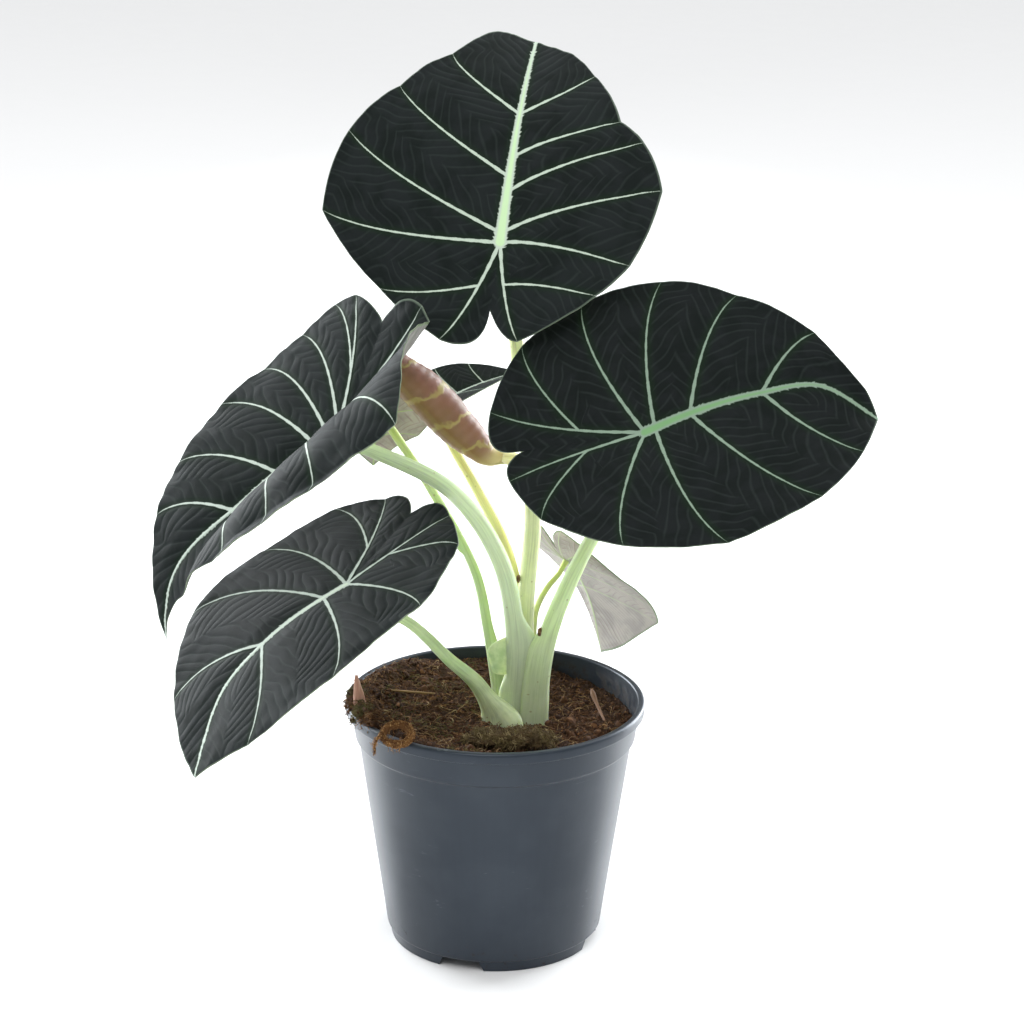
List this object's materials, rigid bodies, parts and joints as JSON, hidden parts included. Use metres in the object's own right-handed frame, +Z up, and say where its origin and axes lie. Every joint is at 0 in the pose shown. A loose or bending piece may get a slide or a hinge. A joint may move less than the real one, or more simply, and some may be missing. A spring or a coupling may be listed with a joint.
{
  "type": "potted alocasia",
  "caption": "Foliage houseplant with dark velvety shield-shaped leaves, pale veins and fleshy stalks, rooted in a round tapered nursery pot of potting mix",
  "frame": {"origin": "The middle of the flat central foot under the pot, on the surface the plant stands on, on the pot's axis", "axes": "+Z up along the pot's axis and the plant's height; -Y the front, from which the large leaves show their upper faces; +X to the right of the front"},
  "size_m": [0.2776, 0.2171, 0.3477],
  "materials": {
    "slate_plastic": "satin",
    "peat_mix": "matte",
    "crown_skin": "satin",
    "stalk_skin": "satin",
    "young_stalk_skin": "satin",
    "leaf_skin": "matte",
    "young_leaf_skin": "satin",
    "coir_fibre": "matte",
    "pine_bark": "matte",
    "dry_twig": "matte",
    "dry_straw": "matte",
    "moss": "matte"
  },
  "bodies": {
    "root": {"pot": "slate_plastic", "potting_mix": "peat_mix", "crown": "crown_skin", "stalk_top": "stalk_skin", "blade_top": "leaf_skin", "stalk_right": "stalk_skin", "blade_right": "leaf_skin", "stalk_left_upper": "stalk_skin", "blade_left_upper": "leaf_skin", "stalk_left_lower": "stalk_skin", "blade_left_lower": "leaf_skin", "stalk_back_left": "young_stalk_skin", "blade_back_left": "leaf_skin", "stalk_back_right": "young_stalk_skin", "blade_back_right": "leaf_skin", "stalk_back_curved": "young_stalk_skin", "blade_back_curved": "leaf_skin", "stalk_rolled": "young_stalk_skin", "blade_rolled": "young_leaf_skin", "coir_tuft": "coir_fibre", "bark_chip": "pine_bark", "twig": "dry_twig", "straw": "dry_straw", "moss_clump": "moss"}
  },
  "joints": []
}
